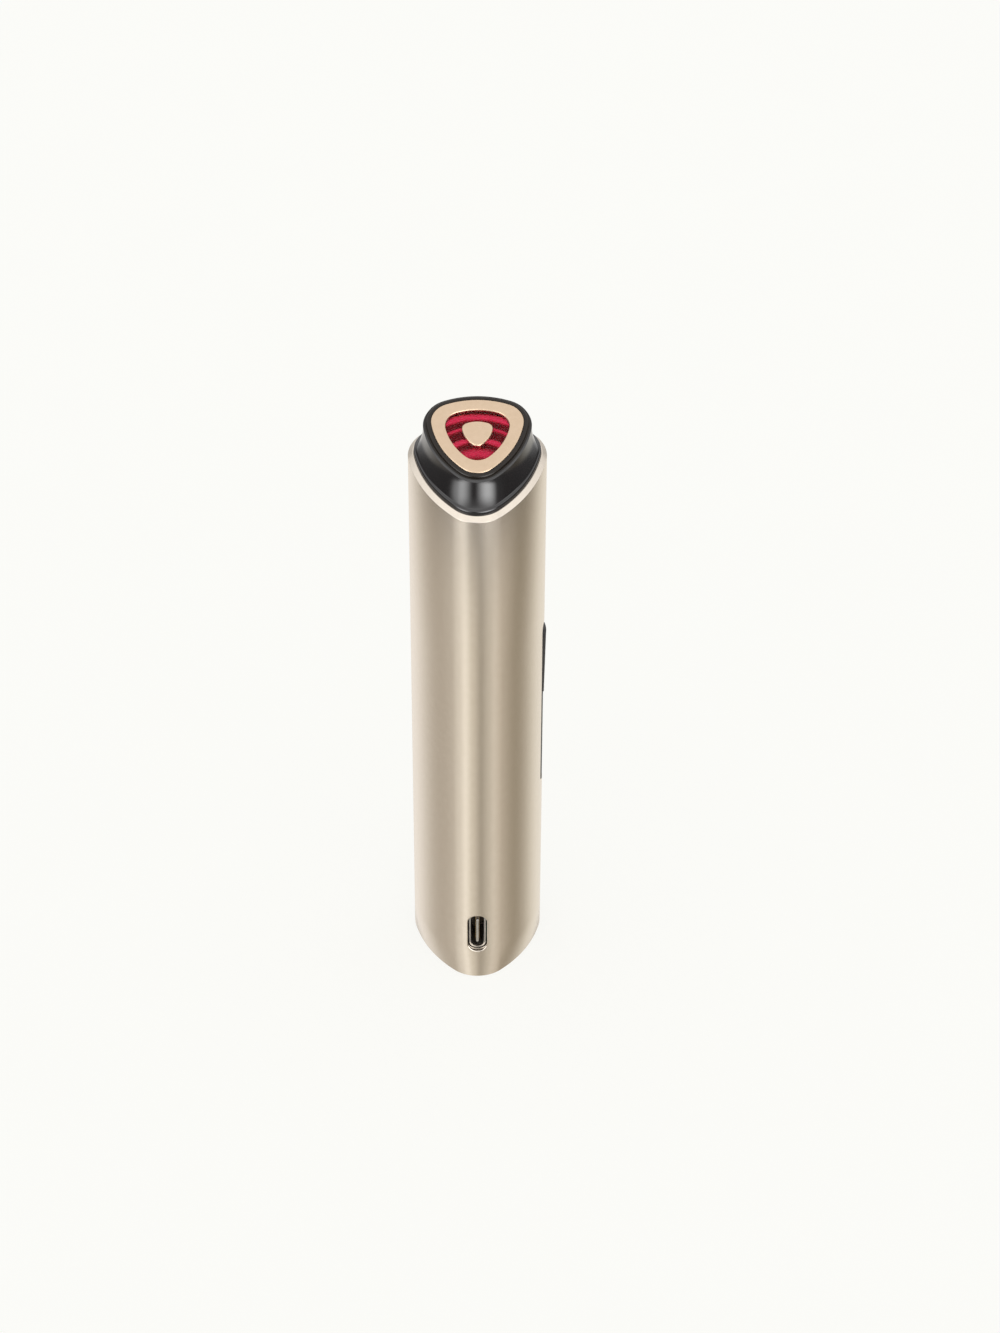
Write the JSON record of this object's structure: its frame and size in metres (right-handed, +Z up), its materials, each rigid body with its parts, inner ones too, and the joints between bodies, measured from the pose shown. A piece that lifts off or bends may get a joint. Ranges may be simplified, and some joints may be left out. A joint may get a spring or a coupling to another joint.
{
  "type": "rf facial device",
  "caption": "Slim standing facial wand: rounded-triangle metal tube, slanted head with electrodes round a red window, side key and charging inlet.",
  "frame": {"origin": "point on the wand's axis in the plane that it stands on", "axes": "+Z up along the wand to its head; -Y towards the corner with the charging inlet, which the head also leans to; +X to the right, on the side of the key"},
  "size_m": [0.0254, 0.0244, 0.1222],
  "materials": {
    "body_metal": "satin champagne anodised",
    "collar_black": "glossy black",
    "electrode_metal": "satin champagne gold plating",
    "window_red": "polished deep red",
    "panel_dark": "glossy dark grey",
    "key_dark": "fine satin",
    "seal_rubber": "matt",
    "base_plastic": "fine texture",
    "frame_plastic": "moulded natural white",
    "bright_steel": "nickel plated",
    "board_laminate": "green solder mask",
    "chip_black": "moulded black",
    "connector_white": "moulded ivory",
    "lamp_clear": "clear moulded",
    "lamp_red": "red tinted",
    "cell_wrap": "shrink film",
    "pad_foam": "foam",
    "ferrite": "ground ceramic",
    "winding_copper": "enamelled copper wire",
    "capacitor_can": "drawn can",
    "ribbon_film": "amber film",
    "contact_gold": "gold plated"
  },
  "bodies": {
    "housing": {"base_cap": "base_plastic", "base_plate": "base_plastic", "base_screws": "bright_steel", "base_seal": "seal_rubber", "battery_cell": "cell_wrap", "battery_pads": "pad_foam", "battery_tabs": "bright_steel", "board_connector": "connector_white", "centre_contact": "contact_gold", "centre_electrode": "electrode_metal", "charge_board": "board_laminate", "charge_chip": "chip_black", "charge_connector": "connector_white", "chassis": "frame_plastic", "control_panel": "panel_dark", "controller_chip": "chip_black", "electrode_carrier": "frame_plastic", "filter_capacitors": "capacitor_can", "frame_screws": "bright_steel", "head_collar": "collar_black", "head_ribbon": "ribbon_film", "head_rim": "collar_black", "head_screws": "bright_steel", "head_seal": "seal_rubber", "key_board": "board_laminate", "key_header": "connector_white", "led_board": "board_laminate", "level_leds": "lamp_clear", "light_guides": "lamp_clear", "light_window": "window_red", "main_board": "board_laminate", "outer_contact": "contact_gold", "outer_electrode": "electrode_metal", "panel_gasket": "seal_rubber", "power_ribbon": "ribbon_film", "red_leds": "lamp_red", "rf_transformer_core": "ferrite", "rf_transformer_winding": "winding_copper", "rf_transistors": "chip_black", "tact_switch": "chip_black", "temperature_sensor": "chip_black", "tube_body": "body_metal", "usb_shell": "bright_steel", "usb_tongue": "chip_black"},
    "key": {"power_button": "key_dark", "switch_plunger": "key_dark"}
  },
  "joints": [
    {"name": "power_key_press", "type": "slide", "parent": "housing", "child": "key", "axis": [-0.866, -0.5, 0], "range_m": [0, 0.0003], "stiffness_N_per_m": 600, "springref_m": -0.002}
  ]
}
